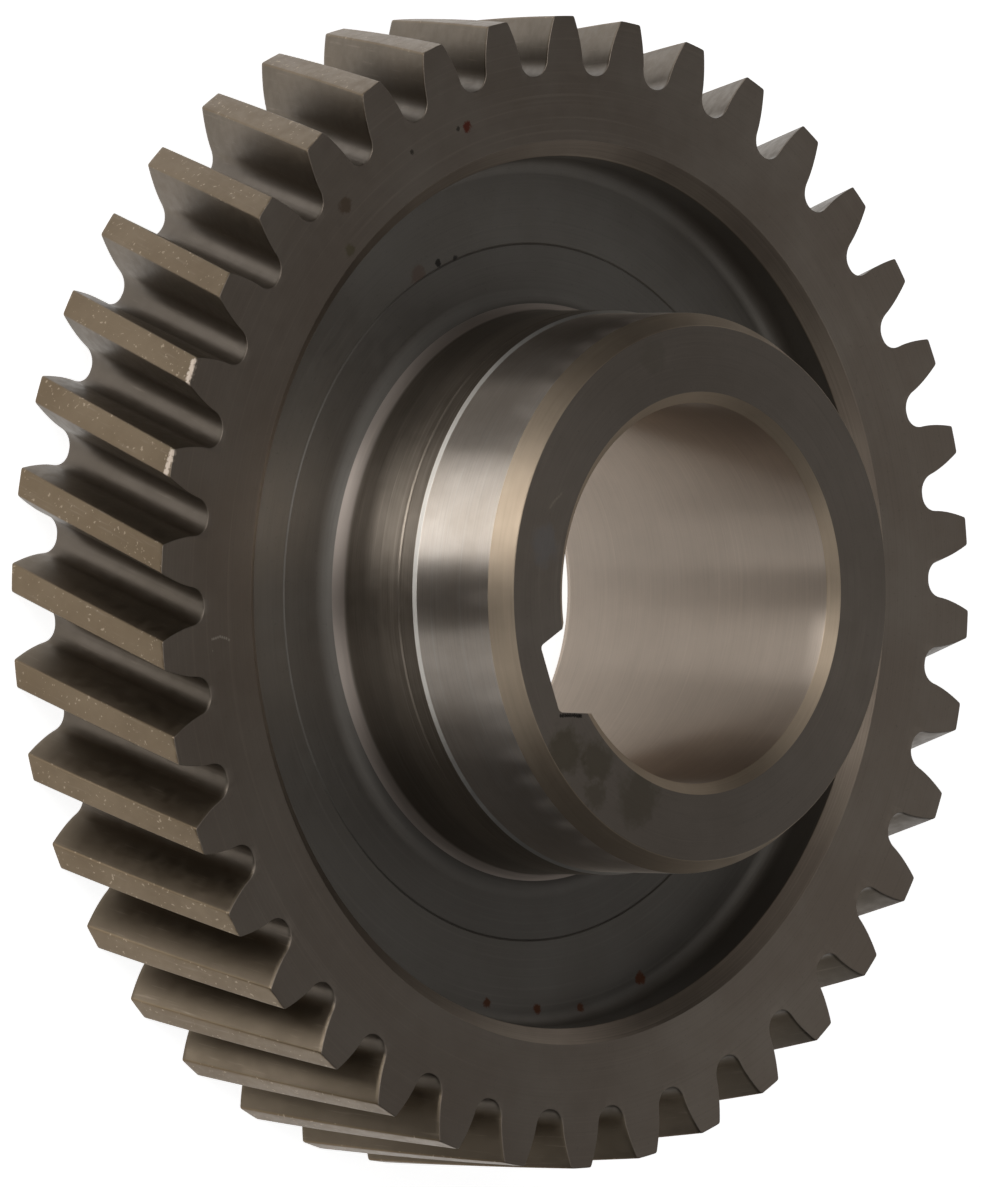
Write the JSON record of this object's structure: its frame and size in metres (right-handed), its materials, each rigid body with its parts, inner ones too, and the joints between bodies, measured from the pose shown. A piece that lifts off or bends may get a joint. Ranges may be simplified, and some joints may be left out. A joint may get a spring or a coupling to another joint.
{
  "type": "helical gear",
  "caption": "Right-hand helical gear with recessed web, hub standing out of one face, ground journal on the hub and a keyed through bore.",
  "frame": {"origin": "centre of the bore axis at the rear face of the gear, which is the plane of the rear ends of the teeth and of the rim; the hub's rear face lies 1.4 mm in front of it", "axes": "+Z along the bore axis towards the hub end face, +X through the middle of the keyway"},
  "size_m": [0.1372, 0.1372, 0.0465],
  "materials": {
    "teeth_steel": "ground flanks and tan, lightly heat-tinted tooth tops",
    "turned_steel": "turned, hardened and oiled, dark brown-grey",
    "hub_steel": "bright ground journal and bore, dark turned ends"
  },
  "bodies": {
    "root": {"helical_teeth": "teeth_steel", "rim": "turned_steel", "web": "turned_steel", "hub_flange": "turned_steel", "hub": "hub_steel"}
  },
  "joints": []
}
